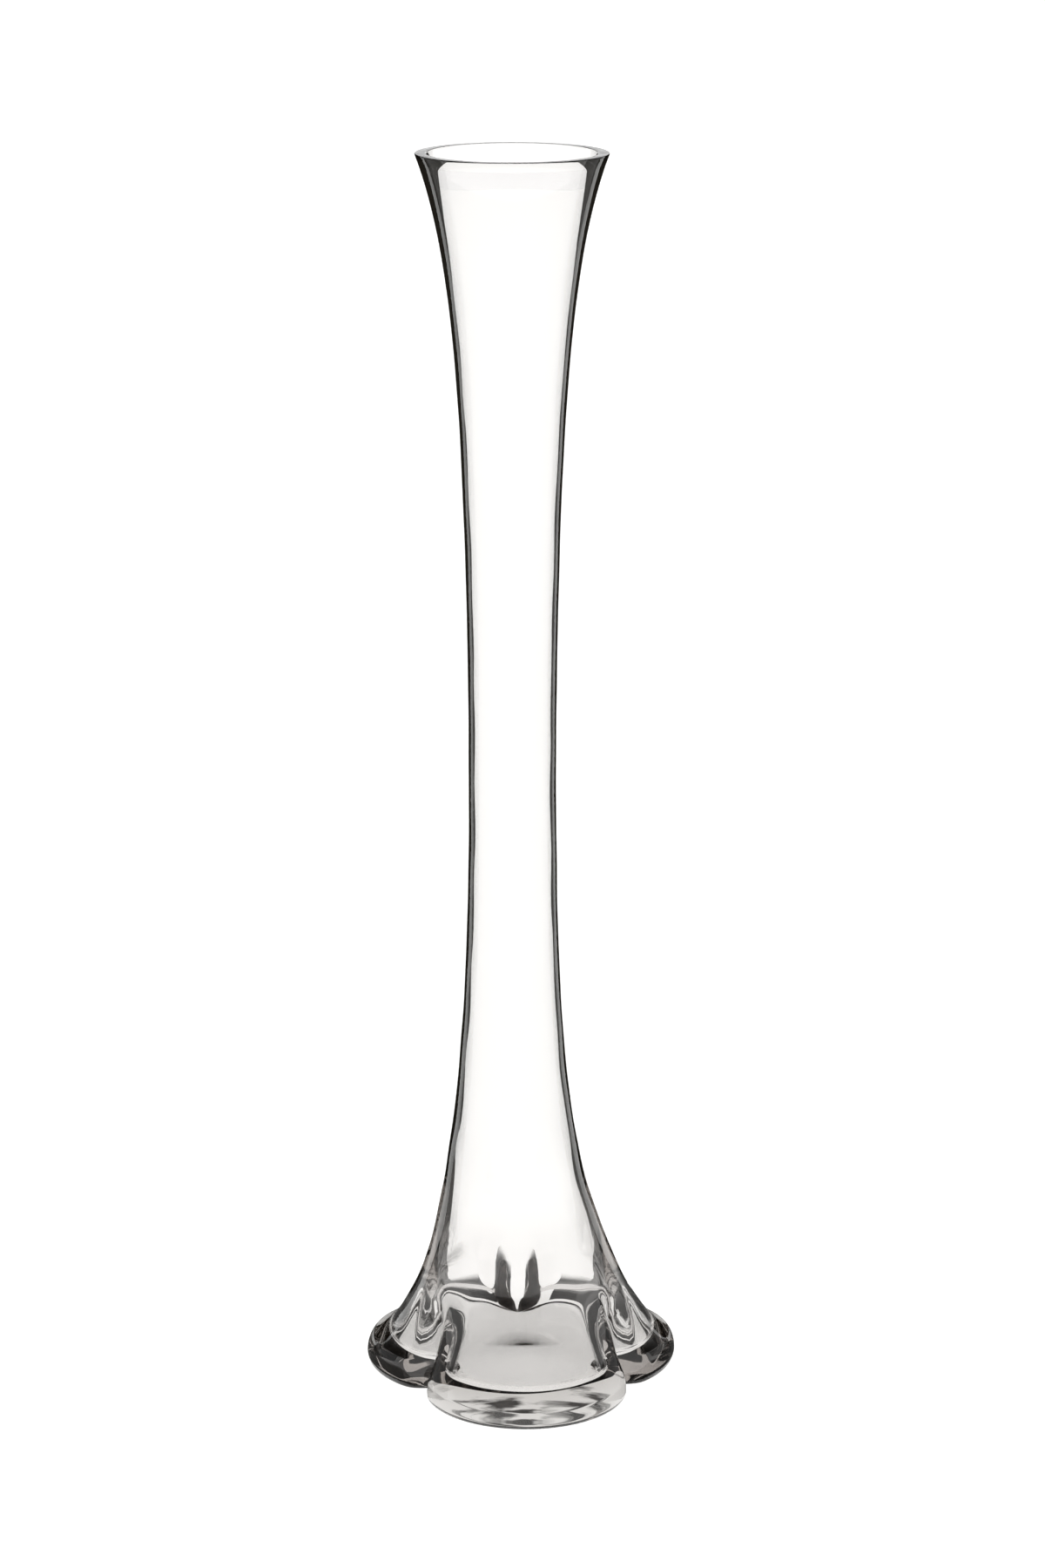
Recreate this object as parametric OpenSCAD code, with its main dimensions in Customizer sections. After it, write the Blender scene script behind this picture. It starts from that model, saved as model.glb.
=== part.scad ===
// Tall trumpet vase in clear glass, made by hand from one gather.
// A thick ground lip tops a flared mouth, a long slim tube opens into a bell, and the bell stands on a
// heavy solid foot that is pinched inward at three places, which leaves three rounded lobes.
// The glass is one piece, so its nodes are the stretches that a maker shapes one after another.
// Millimetres, +Z up. The origin is on the standing plane under the middle of the foot,
// and the front lobe points to -Y.

/* [Overall] */

// Height from the standing plane to the ground lip
vase_h = 600; // [400:10:700]
// How far the straight upper part stands to the left of the foot's middle
lean = 4.8; // [0:0.1:10]
// Height where the lean starts
lean_from_z = 20; // [0:1:60]
// Height above which the axis is straight again
lean_to_z = 140; // [80:1:150]

/* [Outline of the body] */

// Radius that the tube tends to, before the bell and the mouth widen it
tube_r = 17.6; // [10:0.1:30]
// Widening of the bell at the standing plane
bell_flare = 61.4; // [30:0.1:90]
// Height over which the bell's widening falls away
bell_len = 76.5; // [30:0.5:150]
// Slow widening of the mouth at the lip
mouth_flare = 14.2; // [0:0.1:40]
// Height over which the slow widening falls away
mouth_len = 160; // [60:1:300]
// Quick widening of the last stretch, at the lip
lip_flare = 13.6; // [0:0.1:30]
// Height over which the quick widening falls away
lip_len = 47.6; // [10:0.1:100]

/* [Wall] */

// Wall of the slim tube
wall_t = 1.6; // [1.2:0.1:6]
// Extra wall at the lip
lip_extra_t = 4.1; // [0:0.1:8]
// Height over which the lip's extra wall falls away
lip_fade = 24; // [5:1:60]
// Extra wall in the bell, where the gather is thickest
bell_extra_t = 6; // [0:0.1:15]
// Height of the thickest part of the bell's wall
bell_thick_z = 36; // [25:1:100]
// Half height of that thick part, where half of the extra is left
bell_thick_len = 32; // [15:1:80]

/* [Ground lip] */

// Height of the lip's ring
lip_h = 6; // [3:0.5:15]
// Bevel along both edges of the ground face
lip_bevel = 0.6; // [0.2:0.1:2]

/* [Three lobes] */

// Direction of the front lobe, in degrees from +X
front_dir = -90; // [-180:5:180]
// Offset of each lobe's centre from the foot's middle
lobe_offset = 32; // [0:0.5:45]
// Height over which the lobes melt into the round bell
lobe_fade = 32; // [15:1:80]
// Rounding of the valley between two lobes, in degrees of arc
valley_round = 7; // [2:0.5:20]

/* [Foot] */

// Height of the foot's top, where the bell rises from it
foot_h = 18; // [17:0.5:40]
// Radius of each lobe where the foot is widest
lobe_r = 48.5; // [35:0.5:65]
// Height of the widest line
foot_widest_z = 5; // [1:0.5:12]
// How far the standing face is drawn in below the widest line
toe_in = 4; // [0.5:0.5:8]
// Depth of the rounded recess under the floor
recess_h = 1.2; // [0.5:0.1:4]
// Radius of that recess
recess_r = 34; // [15:1:36]

/* [Pinches between the lobes] */

// Distance of the outer groove's bottom from the foot's middle
groove_r = 47.5; // [40:0.5:57]
// Half width of the outer groove where a finger pressed it flat, in the bell
groove_w = 8.5; // [3:0.5:15]
// Half width of the outer groove at the foot's widest line and below
groove_toe_w = 6; // [3:0.5:15]
// Height where the outer groove ends
groove_top = 47; // [30:1:80]
// Depth of the inner ridge at the floor
ridge_depth = 7; // [0:0.5:10]
// Half width of the inner ridge
ridge_w = 17; // [4:0.5:20]
// Height where the inner ridge ends
ridge_top = 40; // [15:1:80]

/* [Floor of the water space] */

// Height of the floor over the standing plane
floor_z = 11; // [8:0.5:12]
// Radius of the round middle part of the floor
floor_r = 37; // [35:0.5:37.5]
// Rounding between the floor and the wall
floor_round = 5; // [2:0.5:5]

/* [Hidden] */

// Height where the bell ends and the straight tube starts
bell_top_z = 150;
// Height where the tube ends and the lip's ring starts
lip_z = vase_h - lip_h;
// Lobes in the ring, and the angle from a lobe's middle to a valley
lobes = 3;
half_lobe = 180 / lobes;

// Stations round the bell, and round one lobe
bell_steps = 72;
lobe_steps = 32;
// Levels up the bell, up the side of the foot, and round the floor's corner
bell_levels = 16;
side_levels = 9;
toe_levels = 3;
corner_levels = 4;
// Levels along the tube and along the lip's ring
tube_levels = 26;
lip_levels = 3;
recess_levels = 4;
wall_levels = 2;
$fn = 96;

// Top of the rounding between the floor and the wall
corner_top = floor_z + floor_round;
// Radius of a lobe's inner corners, whose straight sides just touch the round middle of the floor
inner_corner_r = floor_r / cos(half_lobe / lobe_steps);
// Softness of the line where a groove fades out, and the share of the toe's draw-in that a valley gets
groove_soft = 1.5;
toe_in_valley = 0.4;

function ease(t) = let (u = min(1, max(0, t))) u * u * (3 - 2 * u);

// Shift of the axis to -X at a height
function axis_x(z) = -lean * ease((z - lean_from_z) / (lean_to_z - lean_from_z));

// Greatest half width of the body, and its wall, at a height
function body_x(z) = tube_r + bell_flare * exp(-z / bell_len)
    + mouth_flare * exp((z - vase_h) / mouth_len)
    + lip_flare * exp((z - vase_h) / lip_len);
function wall(z) = wall_t + lip_extra_t * exp((z - vase_h) / lip_fade)
    + bell_extra_t / (1 + pow((z - bell_thick_z) / bell_thick_len, 2));

// Offset of the lobes' centres at a height of the bell
function offset_at(z) = lobe_offset * exp(-pow(z / lobe_fade, 2));

// Distance to the outline of three circles of radius r whose centres stand off by c,
// at an angle a from the middle of a lobe
function lobed(a, c, r) = c * cos(a) + sqrt(r * r - pow(c * sin(a), 2));

// Angle from the middle of the nearest lobe, and the same angle rounded where it turns back in a valley
function from_lobe(th) =
    let (u = (th - front_dir + 4 * half_lobe) % (2 * half_lobe))
    min(u, 2 * half_lobe - u);
function rounded(a) = max(0, half_lobe - norm([half_lobe - a, valley_round]));

// How strongly a pinch of half width w is felt at the angle a from a lobe, on a radius r:
// a power n of 2 makes a round-bottomed pinch and 4 a flat-bottomed one
function pinch(a, r, w, n) = exp(-pow(abs(r * sin(half_lobe - a) / w), n));

// How much of x is above 0, with a soft start
function above(x) = (x + norm([x, groove_soft])) / 2;

// Greatest half width to lobe radius, for lobes whose centres stand off by c
function radius_of(x, c) = x - c * cos(half_lobe / 2);

// Radius of the outer surface of lobes (c, r) at the angle a, with the grooves pressed in:
// flat is how flat-bottomed the grooves are, and deep the share of their full depth
function grooved(a, c, r, flat, deep) =
    let (plain = lobed(rounded(a), c, r))
    let (deepest = lobed(half_lobe - valley_round, c, r))
    let (press = (1 - flat) * pinch(a, plain, groove_toe_w, 2) + flat * pinch(a, plain, groove_w, 4))
    plain - above(deepest - groove_r) * press * deep;

// Outer and inner radius of the bell at the angle a and height z
function bell_outer(a, z) =
    grooved(a, offset_at(z), radius_of(body_x(z), offset_at(z)), 1, exp(-pow(z / groove_top, 8)));
function bell_inner(a, z) =
    let (c = offset_at(z))
    let (plain = lobed(rounded(a), c, radius_of(body_x(z) - wall(z), c)))
    plain - ridge_depth * exp(-pow(z / ridge_top, 4)) * pinch(a, plain, ridge_w, 4);

// Reach of a lobe and of a bare valley at the foot's widest line and at its top
wide_reach = lobe_offset + lobe_r;
wide_valley = lobed(half_lobe, lobe_offset, lobe_r);
top_offset = offset_at(foot_h);
top_r = radius_of(body_x(foot_h), top_offset);
top_reach = top_offset + top_r;
top_valley = lobed(half_lobe, top_offset, top_r);

// Outer radius of the foot at the angle a, on its rounded side at the turn t:
// -90 on the standing plane, 0 at the widest line, 90 at the foot's top
function foot_outer(a, t) =
    let (in_toe = t < 0 ? toe_in * (1 - cos(t)) : 0)
    let (full = t < 0 ? 1 : cos(t))
    let (reach = top_reach + (wide_reach - top_reach) * full - in_toe)
    let (valley = top_valley + (wide_valley - top_valley) * full - in_toe * toe_in_valley)
    let (c = (reach * reach - valley * valley) / (2 * reach - valley))
    grooved(a, c, reach - c, ease(sin(t)), 1);
function foot_z(t) = foot_widest_z + sin(t) * (t < 0 ? foot_widest_z : foot_h - foot_widest_z);

// Section of one lobe of the foot at the angle a, as [radius, height], from the underside outward,
// over the side, and back down the wall of the water space to the floor
function foot_section(a) = concat(
    [[inner_corner_r, 0]],
    [for (k = [0:toe_levels - 1]) let (t = -90 + 90 * k / toe_levels) [foot_outer(a, t), foot_z(t)]],
    [for (k = [0:side_levels]) let (t = 90 * k / side_levels) [foot_outer(a, t), foot_z(t)]],
    [for (k = [0:wall_levels - 1]) let (z = foot_h - (foot_h - corner_top) * k / wall_levels)
        [bell_inner(a, z), z]],
    [for (k = [0:corner_levels]) let (t = 90 * k / corner_levels)
        [bell_inner(a, corner_top) - floor_round * (1 - cos(t)), corner_top - floor_round * sin(t)]],
    [[inner_corner_r, floor_z]]
);

// Section of the bell at the angle a, up the outside and down the inside
function bell_z(k) = foot_h + (bell_top_z - foot_h) * pow(k / bell_levels, 1.3);
function bell_section(a) = concat(
    [for (k = [0:bell_levels]) [bell_outer(a, bell_z(k)), bell_z(k)]],
    [for (k = [bell_levels:-1:0]) [bell_inner(a, bell_z(k)), bell_z(k)]]
);

// One corner of a section, turned to the angle th and shifted with the axis
function at(th, p) = [p[0] * cos(th) + axis_x(p[1]), p[0] * sin(th), p[1]];

// Triangles between neighbouring sections of m corners, over n stations
function skin(n, m, closed) = [
    for (i = [0:n - (closed ? 1 : 2)], j = [0:m - 1])
        let (a = i * m + j, b = i * m + (j + 1) % m)
        let (c = ((i + 1) % n) * m + j, d = ((i + 1) % n) * m + (j + 1) % m)
        each [[a, b, d], [a, d, c]]
];

// Points up or down the tube's wall between two heights: side 0 is the outside, side 1 the inside
function wall_points(z0, z1, n, side) =
    [for (k = [0:n]) let (z = z0 + (z1 - z0) * k / n) [body_x(z) - side * wall(z), z]];

module rim_lip() {
    shoulder = vase_h - lip_bevel;
    top_r = body_x(vase_h);
    bore_r = top_r - wall(vase_h);
    color("PowderBlue")
        translate([-lean, 0, 0])
            rotate_extrude()
                polygon(concat(
                    wall_points(lip_z, shoulder, lip_levels, 0),
                    [[top_r - lip_bevel, vase_h]],
                    [[bore_r + lip_bevel, vase_h]],
                    wall_points(shoulder, lip_z, lip_levels, 1)
                ));
}

module trumpet_tube() {
    color("LightCyan")
        translate([-lean, 0, 0])
            rotate_extrude()
                polygon(concat(
                    wall_points(bell_top_z, lip_z, tube_levels, 0),
                    wall_points(lip_z, bell_top_z, tube_levels, 1)
                ));
}

module flared_bell() {
    m = 2 * (bell_levels + 1);
    turns = [for (i = [0:bell_steps - 1]) front_dir + 360 * i / bell_steps];
    color("LightSkyBlue")
        polyhedron(
            points = [for (th = turns) each [for (p = bell_section(from_lobe(th))) at(th, p)]],
            faces = skin(bell_steps, m, true),
            convexity = 8
        );
}

// Round middle of the floor, with a shallow dished recess below
module floor_disc() {
    color("SteelBlue")
        rotate_extrude()
            polygon(concat(
                [for (k = [0:recess_levels])
                    let (r = recess_r * k / recess_levels)
                    [r, recess_h * (1 + cos(180 * r / recess_r)) / 2]],
                [[floor_r, 0], [floor_r, floor_z], [0, floor_z]]
            ));
}

// Front third of the foot's ring: everything outside the round middle of the floor, from valley to valley.
// The other two thirds are the same shape, turned.
module foot_lobe() {
    m = len(foot_section(0));
    turns = [for (i = [0:lobe_steps]) front_dir - half_lobe + 2 * half_lobe * i / lobe_steps];
    polyhedron(
        points = [for (th = turns) each [for (p = foot_section(from_lobe(th))) at(th, p)]],
        faces = concat(
            skin(lobe_steps + 1, m, false),
            [[for (j = [m - 1:-1:0]) j]],
            [[for (j = [0:m - 1]) lobe_steps * m + j]]
        ),
        convexity = 8
    );
}

module foot_lobe_front() {
    color("CadetBlue")
        foot_lobe();
}

module foot_lobe_left() {
    color("DarkCyan")
        rotate([0, 0, -360 / lobes])
            foot_lobe();
}

module foot_lobe_right() {
    color("Teal")
        rotate([0, 0, 360 / lobes])
            foot_lobe();
}

rim_lip();
trumpet_tube();
flared_bell();
floor_disc();
foot_lobe_front();
foot_lobe_left();
foot_lobe_right();
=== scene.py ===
"""Looks for the tall trumpet vase: one continuous body of clear hot-formed glass in a plain light studio.

Metres, in the CAD frame: +Z up, the standing plane at 0, the front lobe of the foot towards -Y.
The glass is built from the same formulas as the CAD part, in millimetres and degrees.
"""

import math

import bpy
import numpy as np
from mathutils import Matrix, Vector


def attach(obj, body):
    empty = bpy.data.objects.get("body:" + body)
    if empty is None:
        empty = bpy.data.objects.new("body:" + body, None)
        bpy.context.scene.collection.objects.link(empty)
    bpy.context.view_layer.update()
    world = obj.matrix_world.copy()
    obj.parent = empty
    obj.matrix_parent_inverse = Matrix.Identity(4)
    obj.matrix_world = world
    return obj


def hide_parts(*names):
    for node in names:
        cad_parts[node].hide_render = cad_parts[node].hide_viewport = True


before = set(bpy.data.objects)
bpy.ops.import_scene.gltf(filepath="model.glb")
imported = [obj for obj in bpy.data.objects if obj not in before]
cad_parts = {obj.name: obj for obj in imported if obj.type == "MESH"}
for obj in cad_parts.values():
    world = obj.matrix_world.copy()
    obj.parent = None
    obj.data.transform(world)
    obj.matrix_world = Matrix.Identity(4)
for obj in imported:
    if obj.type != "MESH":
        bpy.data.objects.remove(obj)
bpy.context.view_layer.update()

MM = 0.001

# ---------------------------------------------------------------- dimensions, in millimetres and degrees

HEIGHT = 600.0
LEAN, LEAN_FROM, LEAN_TO = 4.8, 20.0, 140.0

# Outline of the body: the tube's radius, then how much and over what height each flare widens it
TUBE_R = 17.6
BELL_FLARE, BELL_LEN = 61.4, 76.5
MOUTH_FLARE, MOUTH_LEN = 14.2, 160.0
LIP_FLARE, LIP_LEN = 13.6, 47.6

# Wall, and what the lip and the bell add to it
WALL_T = 1.6
LIP_EXTRA_T, LIP_FADE = 4.1, 24.0
BELL_EXTRA_T, BELL_THICK_Z, BELL_THICK_LEN = 6.0, 36.0, 32.0
LIP_BEVEL = 0.6

# Lobes, foot, finger-pressed grooves with the ridges that they raise inside, and floor
FRONT_DIR = -90.0
HALF_LOBE = 60.0
LOBE_OFFSET, LOBE_FADE, LOBE_R = 32.0, 32.0, 48.5
VALLEY_ROUND = 7.0
FOOT_H, FOOT_WIDEST, TOE_IN, TOE_IN_VALLEY = 18.0, 5.0, 4.0, 0.4
RECESS_H, RECESS_R = 1.2, 34.0
GROOVE_R, GROOVE_W, GROOVE_TOE_W, GROOVE_TOP, GROOVE_SOFT = 47.5, 8.5, 6.0, 47.0, 1.5
RIDGE_DEPTH, RIDGE_W, RIDGE_TOP = 7.0, 17.0, 40.0
FLOOR_Z, FLOOR_ROUND = 11.0, 5.0

# Mesh: stations round the vase, then rings on each stretch from the underside over the lip to the floor
STATIONS = 240
RECESS_RINGS, FACE_RINGS, TOE_RINGS, SIDE_RINGS = 8, 4, 8, 32
CREASE_RINGS, CREASE_STEP = 30, 0.6
BODY_RINGS, INNER_LOW_RINGS, CORNER_RINGS, FLOOR_RINGS = 124, 46, 10, 13
FACE_EDGE = 1.0

# Softening of the crease between foot and bell, as rings below it, rings above it and rounds:
# all round the vase, and once more on the front lobe
CREASE_SOFT = (14, 16, 120)
CREASE_SOFT_FRONT = (24, 28, 400)

# Hand-made unevenness: its size, and sine waves as (share, turns round, turns up, phase)
WAVE = 0.22
WAVES = ((1.0, 3, 5, 0.7), (0.8, 5, -9, 2.1), (0.6, 8, 13, 4.0), (0.5, 2, 21, 1.3))
WAVE_END, WAVE_FADE, WAVE_LOW_Z, WAVE_MIN_R = 12.0, 60.0, 120.0, 30.0
WAVE_HIGH_SHARE = 0.15

# Half of the angle, about the front lobe, over which the standing face is ground by hand
WORN_HALF = 62.0


def body_x(z):
    """Greatest half width of the body at height z."""
    return (
        TUBE_R
        + BELL_FLARE * np.exp(-z / BELL_LEN)
        + MOUTH_FLARE * np.exp((z - HEIGHT) / MOUTH_LEN)
        + LIP_FLARE * np.exp((z - HEIGHT) / LIP_LEN)
    )


def wall(z):
    """Thickness of the wall at height z, measured level."""
    bell = BELL_EXTRA_T / (1 + ((z - BELL_THICK_Z) / BELL_THICK_LEN) ** 2)
    return WALL_T + LIP_EXTRA_T * np.exp((z - HEIGHT) / LIP_FADE) + bell


def cosd(a):
    return np.cos(np.radians(a))


def sind(a):
    return np.sin(np.radians(a))


def ease(t):
    u = np.clip(t, 0, 1)
    return u * u * (3 - 2 * u)


def axis_x(z):
    """Shift of the vase's axis at height z."""
    return -LEAN * ease((z - LEAN_FROM) / (LEAN_TO - LEAN_FROM))


def offset_at(z):
    """How far the lobes' centres stand off at height z."""
    return LOBE_OFFSET * np.exp(-((z / LOBE_FADE) ** 2))


def lobed(a, c, r):
    """Distance to the outline of three circles of radius r that stand off by c, at angle a from a lobe."""
    return c * cosd(a) + np.sqrt(r * r - (c * sind(a)) ** 2)


def rounded(a):
    """Angle a from the nearest lobe, rounded where it turns back in a valley."""
    return np.maximum(0, HALF_LOBE - np.hypot(HALF_LOBE - a, VALLEY_ROUND))


def pinch(a, r, w, n):
    """How strongly a pinch of half width w is felt: n is 2 for a round bottom and 4 for a flat one."""
    return np.exp(-((r * np.abs(sind(HALF_LOBE - a)) / w) ** n))


def grooved(a, c, r, flat, deep):
    """Outline of lobes (c, r) with the grooves pressed in.

    flat is how flat-bottomed the grooves are, and deep the share of their full depth.
    """
    plain = lobed(rounded(a), c, r)
    past = lobed(HALF_LOBE - VALLEY_ROUND, c, r) - GROOVE_R
    press = (1 - flat) * pinch(a, plain, GROOVE_TOE_W, 2) + flat * pinch(a, plain, GROOVE_W, 4)
    return plain - (past + np.hypot(past, GROOVE_SOFT)) / 2 * press * deep


def radius_of(x, c):
    """Lobe radius that gives the greatest half width x, for lobes that stand off by c."""
    return x - c * cosd(HALF_LOBE / 2)


def bell_outer(a, z):
    c = offset_at(z)
    return grooved(a, c, radius_of(body_x(z), c), 1.0, np.exp(-((z / GROOVE_TOP) ** 8)))


def bell_inner(a, z):
    c = offset_at(z)
    plain = lobed(rounded(a), c, radius_of(body_x(z) - wall(z), c))
    return plain - RIDGE_DEPTH * np.exp(-((z / RIDGE_TOP) ** 4)) * pinch(a, plain, RIDGE_W, 4)


WIDE_REACH = LOBE_OFFSET + LOBE_R
WIDE_VALLEY = lobed(HALF_LOBE, LOBE_OFFSET, LOBE_R)
TOP_OFFSET = offset_at(FOOT_H)
TOP_REACH = TOP_OFFSET + radius_of(body_x(FOOT_H), TOP_OFFSET)
TOP_VALLEY = lobed(HALF_LOBE, TOP_OFFSET, radius_of(body_x(FOOT_H), TOP_OFFSET))


def foot_outer(a, t):
    """Outer radius of the foot's rounded side: t is -90 on the standing plane and 90 at the foot's top."""
    in_toe = TOE_IN * (1 - cosd(t)) if t < 0 else 0.0
    full = 1.0 if t < 0 else cosd(t)
    reach = TOP_REACH + (WIDE_REACH - TOP_REACH) * full - in_toe
    valley = TOP_VALLEY + (WIDE_VALLEY - TOP_VALLEY) * full - in_toe * TOE_IN_VALLEY
    c = (reach * reach - valley * valley) / (2 * reach - valley)
    return grooved(a, c, reach - c, ease(sind(t)), 1.0)


def foot_z(t):
    return FOOT_WIDEST + sind(t) * (FOOT_WIDEST if t < 0 else FOOT_H - FOOT_WIDEST)


# ---------------------------------------------------------------- the glass

theta = FRONT_DIR + np.arange(STATIONS) * 360.0 / STATIONS
turn = np.mod(theta - FRONT_DIR, 2 * HALF_LOBE)
from_lobe = np.minimum(turn, 2 * HALF_LOBE - turn)


def soften(rings, middle, spread, share):
    """Rounds the profile near one ring; share is how much each station takes part."""
    below, above, rounds = spread
    start, stop = middle - below, middle + above
    for _ in range(rounds):
        mid = (rings[start - 1 : stop - 1] + rings[start + 1 : stop + 1]) / 2
        rings[start:stop] += (mid - rings[start:stop]) * 0.5 * share[:, None]


def make_rings():
    """(radius, height) of every ring, from the middle of the underside over the lip to the floor's middle."""
    rings = []

    def ring(r, z):
        rings.append(np.stack([np.broadcast_to(r, theta.shape), np.broadcast_to(z, theta.shape)], axis=1))

    # underside: the dished recess, then the flat standing face
    for k in range(1, RECESS_RINGS + 1):
        r = RECESS_R * k / RECESS_RINGS
        ring(r, RECESS_H * (1 + cosd(180 * r / RECESS_R)) / 2)
    face_w = foot_outer(from_lobe, -90.0) - FACE_EDGE - RECESS_R
    for k in range(1, FACE_RINGS + 1):
        ring(RECESS_R + face_w * k / FACE_RINGS, 0.0)

    # outside: the foot's rounded side, the bell and the tube
    for k in range(TOE_RINGS):
        t = -90 + 90 * k / TOE_RINGS
        ring(foot_outer(from_lobe, t), foot_z(t))
    for k in range(SIDE_RINGS + 1):
        t = 90 * k / SIDE_RINGS
        ring(foot_outer(from_lobe, t), foot_z(t))
    crease = len(rings) - 1
    low = FOOT_H + CREASE_STEP * np.arange(1, CREASE_RINGS + 1)
    high = np.linspace(low[-1], HEIGHT - LIP_BEVEL, BODY_RINGS)[1:]
    for z in [*low, *high]:
        ring(bell_outer(from_lobe, z), z)

    # ground lip, with a bevel in two steps on both sides
    top = body_x(HEIGHT)
    bore = top - wall(HEIGHT)
    ring(top - LIP_BEVEL * 0.3, HEIGHT - LIP_BEVEL * 0.3)
    ring(top - LIP_BEVEL, HEIGHT)
    lip_face = len(rings)
    ring(bore + LIP_BEVEL, HEIGHT)
    ring(bore + LIP_BEVEL * 0.3, HEIGHT - LIP_BEVEL * 0.3)

    # inside: down the wall, round the corner and in over the floor
    corner_top = FLOOR_Z + FLOOR_ROUND
    inner_low = np.linspace(low[-1], corner_top, INNER_LOW_RINGS)
    for z in [*high[::-1], *inner_low]:
        ring(bell_inner(from_lobe, z), z)
    corner = bell_inner(from_lobe, corner_top)
    for k in range(1, CORNER_RINGS + 1):
        t = 90.0 * k / CORNER_RINGS
        ring(corner - FLOOR_ROUND * (1 - cosd(t)), corner_top - FLOOR_ROUND * sind(t))
    edge = rings[-1][:, 0].copy()
    for k in range(1, FLOOR_RINGS + 1):
        ring(edge * (1 - k / (FLOOR_RINGS + 1)), FLOOR_Z)

    out = np.array(rings)
    soften(out, crease, CREASE_SOFT, np.ones(STATIONS))
    soften(out, crease, CREASE_SOFT_FRONT, np.clip(cosd(theta - FRONT_DIR) * 2 - 1, 0, 1))
    return out, lip_face


def hand_made(r, z):
    """Small unevenness of free-blown glass: slow waves in the radius that die out at both ends."""
    turns = np.radians(theta)[None, :]
    up = z / HEIGHT * 2 * math.pi
    waves = sum(share * np.sin(around * turns + along * up + phase) for share, around, along, phase in WAVES)
    fade = np.clip(z / WAVE_END, 0, 1) * np.clip((HEIGHT - WAVE_END - z) / WAVE_FADE, 0, 1)
    low = 1 / (1 + (z / WAVE_LOW_Z) ** 2)
    share = WAVE_HIGH_SHARE + (1 - WAVE_HIGH_SHARE) * low
    return waves * WAVE * fade * share * np.clip(r / WAVE_MIN_R, 0, 1)


def make_glass():
    """The closed mesh of the vase, and for each face its material: 0 clear, 1 ground lip, 2 worn foot."""
    rings, lip_face = make_rings()
    n, m = rings.shape[:2]
    r, z = rings[..., 0], rings[..., 1]
    r = r + hand_made(r, z)
    x = r * cosd(theta) + axis_x(z)
    y = r * sind(theta)
    points = np.stack([x, y, z], axis=2).reshape(-1, 3)
    poles = np.array([[0, 0, RECESS_H], [0, 0, FLOOR_Z]])
    points = np.concatenate([points, poles]) * MM
    first, last = n * m, n * m + 1
    i, j = np.meshgrid(np.arange(n - 1), np.arange(m), indexing="ij")
    k = (j + 1) % m
    quads = np.stack([i * m + j, i * m + k, (i + 1) * m + k, (i + 1) * m + j], axis=2).reshape(-1, 4)
    fan = [(first, (s + 1) % m, s) for s in range(m)]
    fan += [(last, (n - 1) * m + s, (n - 1) * m + (s + 1) % m) for s in range(m)]
    mesh = bpy.data.meshes.new("vase_glass")
    mesh.from_pydata(points.tolist(), [], quads.tolist() + fan)
    mesh.validate()
    mesh.polygons.foreach_set("use_smooth", [True] * len(mesh.polygons))
    finish = np.zeros(len(mesh.polygons), dtype=np.int32)
    finish[(lip_face - 1) * m : lip_face * m] = 1
    worn = np.abs(np.mod(theta - FRONT_DIR + 180, 360) - 180) < WORN_HALF
    finish[RECESS_RINGS * m : (RECESS_RINGS + FACE_RINGS) * m] = np.where(np.tile(worn, FACE_RINGS), 2, 0)
    obj = bpy.data.objects.new("vase_glass", mesh)
    bpy.context.scene.collection.objects.link(obj)
    return obj, finish


glass, glass_finish = make_glass()


# ---------------------------------------------------------------- materials

def new_material(name):
    mat = bpy.data.materials.new(name)
    mat.use_nodes = True
    mat.node_tree.nodes.clear()
    return mat, mat.node_tree.nodes, mat.node_tree.links


def glass_material(name, rough_low, rough_high, scratched):
    """Clear glass with an uneven polish between two roughnesses, and soft waves or fine scratches."""
    mat, nodes, links = new_material(name)
    out = nodes.new("ShaderNodeOutputMaterial")
    shader = nodes.new("ShaderNodeBsdfPrincipled")
    shader.inputs["Base Color"].default_value = (0.993, 0.989, 0.986, 1)
    shader.inputs["IOR"].default_value = 1.52
    shader.inputs["Transmission Weight"].default_value = 1.0
    coord = nodes.new("ShaderNodeTexCoord")
    noise = nodes.new("ShaderNodeTexNoise")
    noise.inputs["Scale"].default_value = 60.0
    noise.inputs["Detail"].default_value = 6.0
    links.new(coord.outputs["Object"], noise.inputs["Vector"])
    ramp = nodes.new("ShaderNodeMapRange")
    ramp.inputs["From Min"].default_value = 0.35
    ramp.inputs["From Max"].default_value = 0.75
    ramp.inputs["To Min"].default_value = rough_low
    ramp.inputs["To Max"].default_value = rough_high
    links.new(noise.outputs["Fac"], ramp.inputs["Value"])
    links.new(ramp.outputs["Result"], shader.inputs["Roughness"])
    wave = nodes.new("ShaderNodeTexNoise")
    wave.inputs["Scale"].default_value = 400.0 if scratched else 35.0
    wave.inputs["Detail"].default_value = 2.0
    links.new(coord.outputs["Object"], wave.inputs["Vector"])
    bump = nodes.new("ShaderNodeBump")
    bump.inputs["Strength"].default_value = 0.35 if scratched else 0.04
    bump.inputs["Distance"].default_value = 0.0002 if scratched else 0.001
    links.new(wave.outputs["Fac"], bump.inputs["Height"])
    links.new(bump.outputs["Normal"], shader.inputs["Normal"])
    absorb = nodes.new("ShaderNodeVolumeAbsorption")
    absorb.inputs["Color"].default_value = (0.79, 0.775, 0.765, 1)
    absorb.inputs["Density"].default_value = 55.0
    links.new(absorb.outputs["Volume"], out.inputs["Volume"])
    links.new(shader.outputs["BSDF"], out.inputs["Surface"])
    return mat


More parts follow.
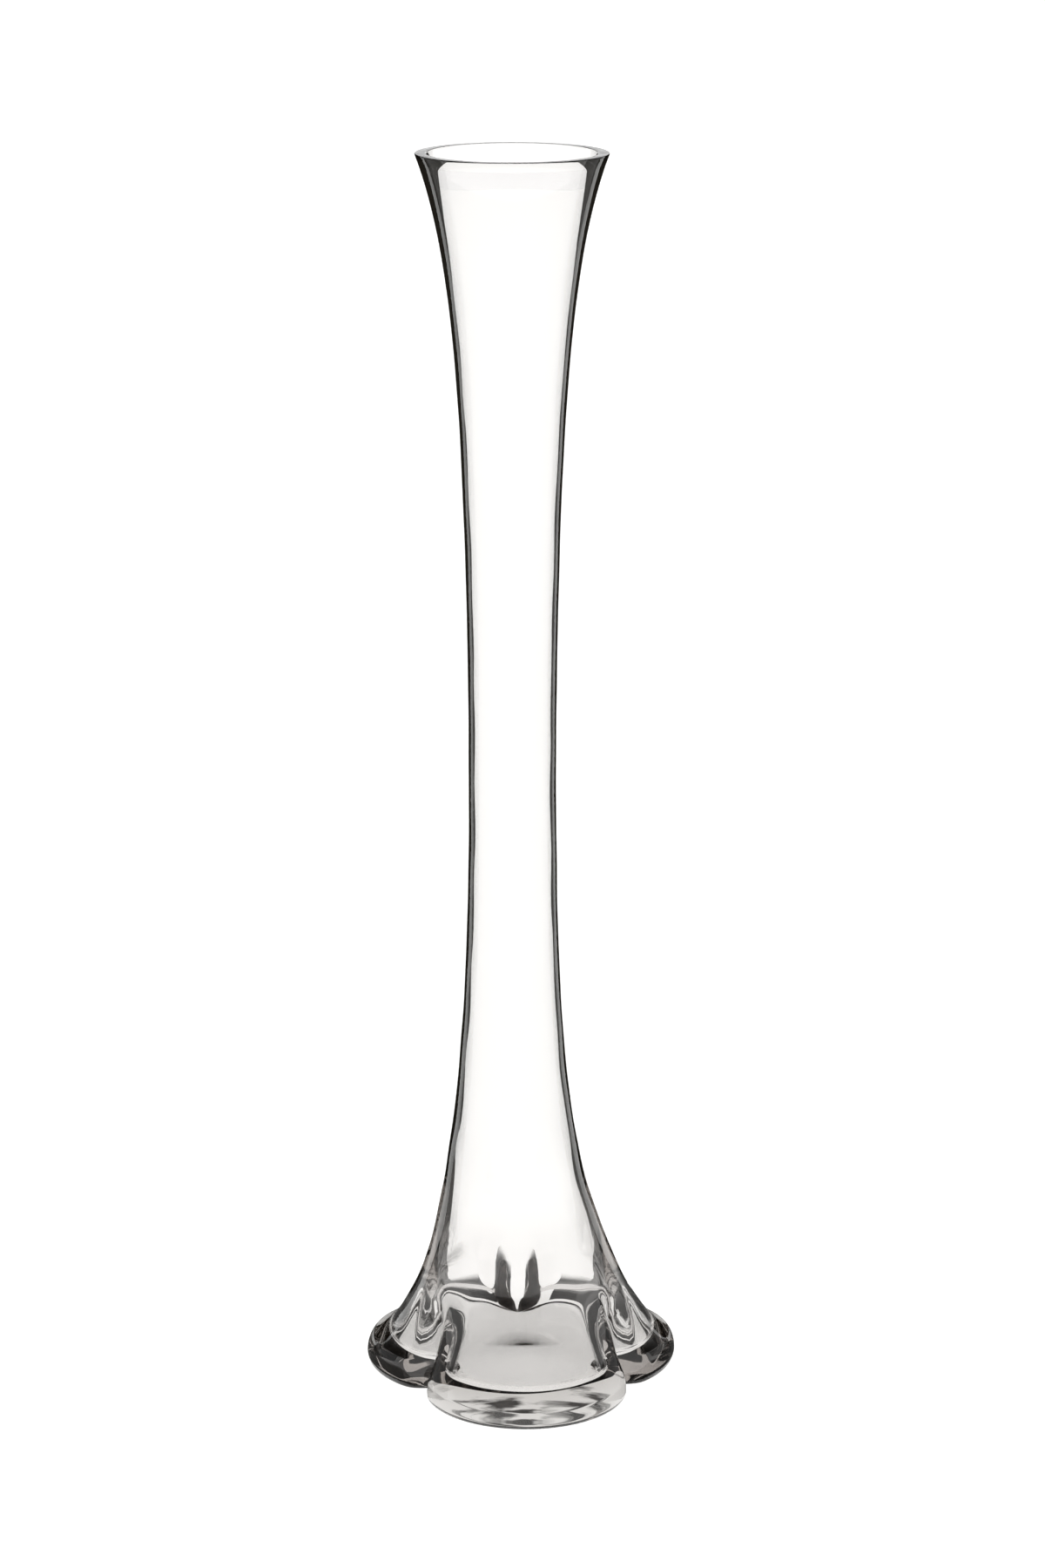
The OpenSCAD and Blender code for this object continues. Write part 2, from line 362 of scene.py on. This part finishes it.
def worn_material():
    """The part of the standing face that is ground by hand: clear glass with streaks that scatter light.

    Distance from the origin plus noise decides where the streaks end.
    """
    mat = glass_material("worn_foot", 0.05, 0.3, True)
    nodes, links = mat.node_tree.nodes, mat.node_tree.links
    out = next(n for n in nodes if n.bl_idname == "ShaderNodeOutputMaterial")
    glassy = next(n for n in nodes if n.bl_idname == "ShaderNodeBsdfPrincipled")
    coord = nodes.new("ShaderNodeTexCoord")
    stretch = nodes.new("ShaderNodeMapping")
    stretch.inputs["Scale"].default_value = (40, 110, 40)
    noise = nodes.new("ShaderNodeTexNoise")
    noise.inputs["Scale"].default_value = 1.0
    noise.inputs["Detail"].default_value = 5.0
    noise.inputs["Distortion"].default_value = 0.5
    radius = nodes.new("ShaderNodeVectorMath")
    radius.operation = "LENGTH"
    uneven = nodes.new("ShaderNodeMath")
    uneven.operation = "MULTIPLY_ADD"
    uneven.inputs[1].default_value = 0.14
    share = nodes.new("ShaderNodeMapRange")
    share.interpolation_type = "SMOOTHSTEP"
    share.inputs["From Min"].default_value = 0.120
    share.inputs["From Max"].default_value = 0.142
    share.inputs["To Min"].default_value = 0.85
    share.inputs["To Max"].default_value = 0.05
    frosted = nodes.new("ShaderNodeBsdfTranslucent")
    frosted.inputs["Color"].default_value = (0.97, 0.965, 0.955, 1)
    mix = nodes.new("ShaderNodeMixShader")
    links.new(coord.outputs["Object"], stretch.inputs["Vector"])
    links.new(stretch.outputs["Vector"], noise.inputs["Vector"])
    links.new(coord.outputs["Object"], radius.inputs[0])
    links.new(noise.outputs["Fac"], uneven.inputs[0])
    links.new(radius.outputs["Value"], uneven.inputs[2])
    links.new(uneven.outputs["Value"], share.inputs["Value"])
    links.new(share.outputs["Result"], mix.inputs["Fac"])
    links.new(glassy.outputs["BSDF"], mix.inputs[1])
    links.new(frosted.outputs["BSDF"], mix.inputs[2])
    links.new(mix.outputs["Shader"], out.inputs["Surface"])
    return mat


glass.data.materials.append(glass_material("clear_glass", 0.0, 0.015, False))
glass.data.materials.append(glass_material("ground_glass", 0.12, 0.3, True))
glass.data.materials.append(worn_material())
glass.data.polygons.foreach_set("material_index", glass_finish)
glass.data.update()

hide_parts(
    "rim_lip",
    "trumpet_tube",
    "flared_bell",
    "floor_disc",
    "foot_lobe_front",
    "foot_lobe_left",
    "foot_lobe_right",
)
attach(glass, "root")


# ---------------------------------------------------------------- studio, in metres

CARD_COLOR = (0.016, 0.014, 0.011, 1)

# Light lanes that meet at the vase, as (direction, half width next to the vase, spread to each side);
# the main one lies behind the vase in the main view
LANES = [
    (0.0, 0.034, 8.0),
    (43.0, 0.03, 6.0),
    (87.0, 0.042, 12.0),
    (136.0, 0.03, 6.0),
    (180.0, 0.034, 8.0),
    (225.0, 0.034, 9.0),
    (270.0, 0.042, 12.0),
    (315.0, 0.034, 9.0),
]
MAIN_LANE = 2
FLAG_REACH, FLAG_HEIGHT = 2.4, 1.8
VEIL_STEPS = 24
VEIL_GAP = 2 * MM

# Heights of the studio's flat layers, which keep clear of each other
FLOOR_DROP, VEIL_RISE, CARD_RISE = -0.0002, 0.0006, 0.001


def studio_floor():
    """Pale floor that glows a little, so that the glass shows light from below."""
    mesh = bpy.data.meshes.new("studio_floor")
    size = 30.0
    corners = [(-size, -size, 0), (size, -size, 0), (size, size, 0), (-size, size, 0)]
    mesh.from_pydata(corners, [], [(0, 1, 2, 3)])
    obj = bpy.data.objects.new("studio_floor", mesh)
    bpy.context.scene.collection.objects.link(obj)
    mat, nodes, links = new_material("studio_floor")
    out = nodes.new("ShaderNodeOutputMaterial")
    shader = nodes.new("ShaderNodeBsdfPrincipled")
    shader.inputs["Base Color"].default_value = (0.5, 0.5, 0.49, 1)
    shader.inputs["Roughness"].default_value = 0.9
    shader.inputs["Specular IOR Level"].default_value = 0.1
    shader.inputs["Emission Color"].default_value = (1.0, 1.0, 0.99, 1)
    shader.inputs["Emission Strength"].default_value = 1.04
    links.new(shader.outputs["BSDF"], out.inputs["Surface"])
    mesh.materials.append(mat)
    obj.location.z = FLOOR_DROP
    return obj


def make_card(name, verts, faces, glossy):
    """A dark card that only the glass sees, with its node tree and the mix that says how opaque it is.

    glossy says whether reflections on the outside of the glass see it too.
    """
    mesh = bpy.data.meshes.new(name)
    mesh.from_pydata(verts, [], faces)
    obj = bpy.data.objects.new(name, mesh)
    bpy.context.scene.collection.objects.link(obj)
    mat, nodes, links = new_material(name)
    out = nodes.new("ShaderNodeOutputMaterial")
    card = nodes.new("ShaderNodeBsdfDiffuse")
    card.inputs["Color"].default_value = CARD_COLOR
    clear = nodes.new("ShaderNodeBsdfTransparent")
    mix = nodes.new("ShaderNodeMixShader")
    links.new(clear.outputs["BSDF"], mix.inputs[1])
    links.new(card.outputs["BSDF"], mix.inputs[2])
    links.new(mix.outputs["Shader"], out.inputs["Surface"])
    mesh.materials.append(mat)
    obj.visible_camera = False
    obj.visible_diffuse = False
    obj.visible_glossy = glossy
    obj.visible_shadow = False
    return obj, mat.node_tree, mix


def side_of(lane, sign):
    """A point on one side of a light lane, next to the vase, and the way that side runs."""
    heading, half, spread = lane
    a = math.radians(heading)
    out = math.radians(heading + sign * spread)
    return Vector((-math.sin(a), math.cos(a))) * half * sign, Vector((math.cos(out), math.sin(out)))


def light_flags(name, first, last, glossy, dark=1.0):
    """Cards between the light lanes, from the first lane round to the last; dark: how opaque they are."""
    verts, faces = [], []
    for k in range(first, last):
        p0, u0 = side_of(LANES[k], 1)
        p1, u1 = side_of(LANES[(k + 1) % len(LANES)], -1)
        gap = p1 - p0
        tip = p0 + u0 * ((gap.x * u1.y - gap.y * u1.x) / (u0.x * u1.y - u0.y * u1.x))
        for end in (p0 + u0 * FLAG_REACH, p1 + u1 * FLAG_REACH):
            base = len(verts)
            for p in (tip, end):
                verts.append((p.x, p.y, CARD_RISE))
                verts.append((p.x, p.y, FLAG_HEIGHT))
            faces.append((base, base + 2, base + 3, base + 1))
    obj, _, mix = make_card(name, verts, faces, glossy)
    mix.inputs["Fac"].default_value = dark
    return obj


def light_ring(name, foot, mouth, height):
    """Dark funnel all round the vase, seen only by light that turns back inside the glass: its edges."""
    steps = 72
    verts, faces = [], []
    for k in range(steps):
        a = math.radians(360.0 * k / steps)
        for r, z in ((foot, CARD_RISE), (mouth, height)):
            verts.append((r * math.cos(a), r * math.sin(a), z))
        n = 2 * ((k + 1) % steps)
        faces.append((2 * k, n, n + 1, 2 * k + 1))
    obj, tree, mix = make_card(name, verts, faces, False)
    path = tree.nodes.new("ShaderNodeLightPath")
    turned = tree.nodes.new("ShaderNodeMath")
    turned.operation = "GREATER_THAN"
    turned.inputs[1].default_value = 0.5
    tree.links.new(path.outputs["Glossy Depth"], turned.inputs[0])
    tree.links.new(turned.outputs["Value"], mix.inputs["Fac"])
    return obj


def painted_shade_veil(name, far, fade_from, start, stop, dark):
    """Painted shade on the floor: a dark veil that only the glass sees, on both sides of the main lane,
    between two angles from it, fading outwards.
    """
    verts, faces = [], []
    step = (stop - start) / VEIL_STEPS
    for sign in (-1, 1):
        for k in range(VEIL_STEPS):
            base = len(verts)
            for a in (start + step * k, start + step * (k + 1)):
                heading = LANES[MAIN_LANE][0] + sign * a
                out = math.radians(heading)
                lobe = (heading - FRONT_DIR) % (2 * HALF_LOBE)
                near = MM * float(foot_outer(min(lobe, 2 * HALF_LOBE - lobe), 0.0)) + VEIL_GAP
                for r in (near, far):
                    verts.append((r * math.cos(out), r * math.sin(out), VEIL_RISE))
            faces.append((base, base + 1, base + 3, base + 2))
    obj, tree, mix = make_card(name, verts, faces, True)
    coord = tree.nodes.new("ShaderNodeTexCoord")
    length = tree.nodes.new("ShaderNodeVectorMath")
    length.operation = "LENGTH"
    fade = tree.nodes.new("ShaderNodeMapRange")
    fade.interpolation_type = "SMOOTHSTEP"
    fade.inputs["From Min"].default_value = fade_from
    fade.inputs["From Max"].default_value = far
    fade.inputs["To Min"].default_value = dark
    fade.inputs["To Max"].default_value = 0.0
    tree.links.new(coord.outputs["Object"], length.inputs[0])
    tree.links.new(length.outputs["Value"], fade.inputs["Value"])
    tree.links.new(fade.outputs["Result"], mix.inputs["Fac"])
    return obj


studio_floor()
light_ring("flag_ring", 0.11, 1.3, 1.8)
light_flags("flags_main", 1, 3, True)
light_flags("flags_right", 0, 1, True, 0.65)
light_flags("flags_left", 3, 4, True, 0.65)
light_flags("flags_front", 4, 8, False, 0.65)
# Painted shade: dark veils on the floor behind the vase, seen only in the glass, that darken the foot's
# streaks and edges
painted_shade_veil("painted_shade_veil", 0.5, 0.2, 28, 42, 0.92)
painted_shade_veil("painted_shade_veil_back", 0.5, 0.2, 55, 76, 0.92)
painted_shade_veil("painted_shade_veil_gap", 0.2, 0.1, 42, 55, 0.85)
painted_shade_veil("painted_shade_veil_near", 0.135, 0.11, 11, 28, 0.97)
painted_shade_veil("painted_shade_veil_side", 0.17, 0.12, 76, 130, 0.9)


# ---------------------------------------------------------------- sky and camera

SKY_STRENGTH = 1.18
SKY_DARK = 0.10
# Level of the sky by how steeply one looks up: 0 at the horizon and 1 straight up
SKY_STOPS = ((0.28, 1.0), (0.46, SKY_DARK), (0.86, SKY_DARK), (0.95, 0.7))

SENSOR, LENS = 36.0, 101.26
CAMERA_TURN, CAMERA_TILT = -3.0, 14.45
CAMERA_DISTANCE, CAMERA_HEIGHT = 2.0434, 0.8256


def studio_sky():
    """Soft sky: light near the horizon, dark above it and lighter again overhead."""
    world = bpy.data.worlds.new("studio")
    world.use_nodes = True
    nodes, links = world.node_tree.nodes, world.node_tree.links
    coord = nodes.new("ShaderNodeTexCoord")
    split = nodes.new("ShaderNodeSeparateXYZ")
    ramp = nodes.new("ShaderNodeValToRGB")
    links.new(coord.outputs["Generated"], split.inputs["Vector"])
    links.new(split.outputs["Z"], ramp.inputs["Fac"])
    ramp.color_ramp.interpolation = "EASE"
    stops = ramp.color_ramp.elements
    stops[0].color = (1, 1, 1, 1)
    for spot, level in SKY_STOPS:
        stops.new(spot).color = (level, level, level, 1)
    stops.remove(stops[-1])
    links.new(ramp.outputs["Color"], nodes["Background"].inputs["Color"])
    nodes["Background"].inputs["Strength"].default_value = SKY_STRENGTH
    return world


def studio_camera():
    data = bpy.data.cameras.new("camera")
    data.sensor_width = SENSOR
    data.lens = LENS
    obj = bpy.data.objects.new("camera", data)
    bpy.context.scene.collection.objects.link(obj)
    turn_to = math.radians(CAMERA_TURN)
    obj.location = (CAMERA_DISTANCE * math.sin(turn_to), -CAMERA_DISTANCE * math.cos(turn_to), CAMERA_HEIGHT)
    obj.rotation_euler = (math.radians(90 - CAMERA_TILT), 0, turn_to)
    return obj


scene = bpy.context.scene
scene.world = studio_sky()
scene.camera = studio_camera()
scene.view_settings.view_transform = "Standard"
scene.view_settings.look = "None"
scene.cycles.max_bounces = 32
scene.cycles.transmission_bounces = 32
scene.cycles.glossy_bounces = 16
scene.cycles.transparent_max_bounces = 16
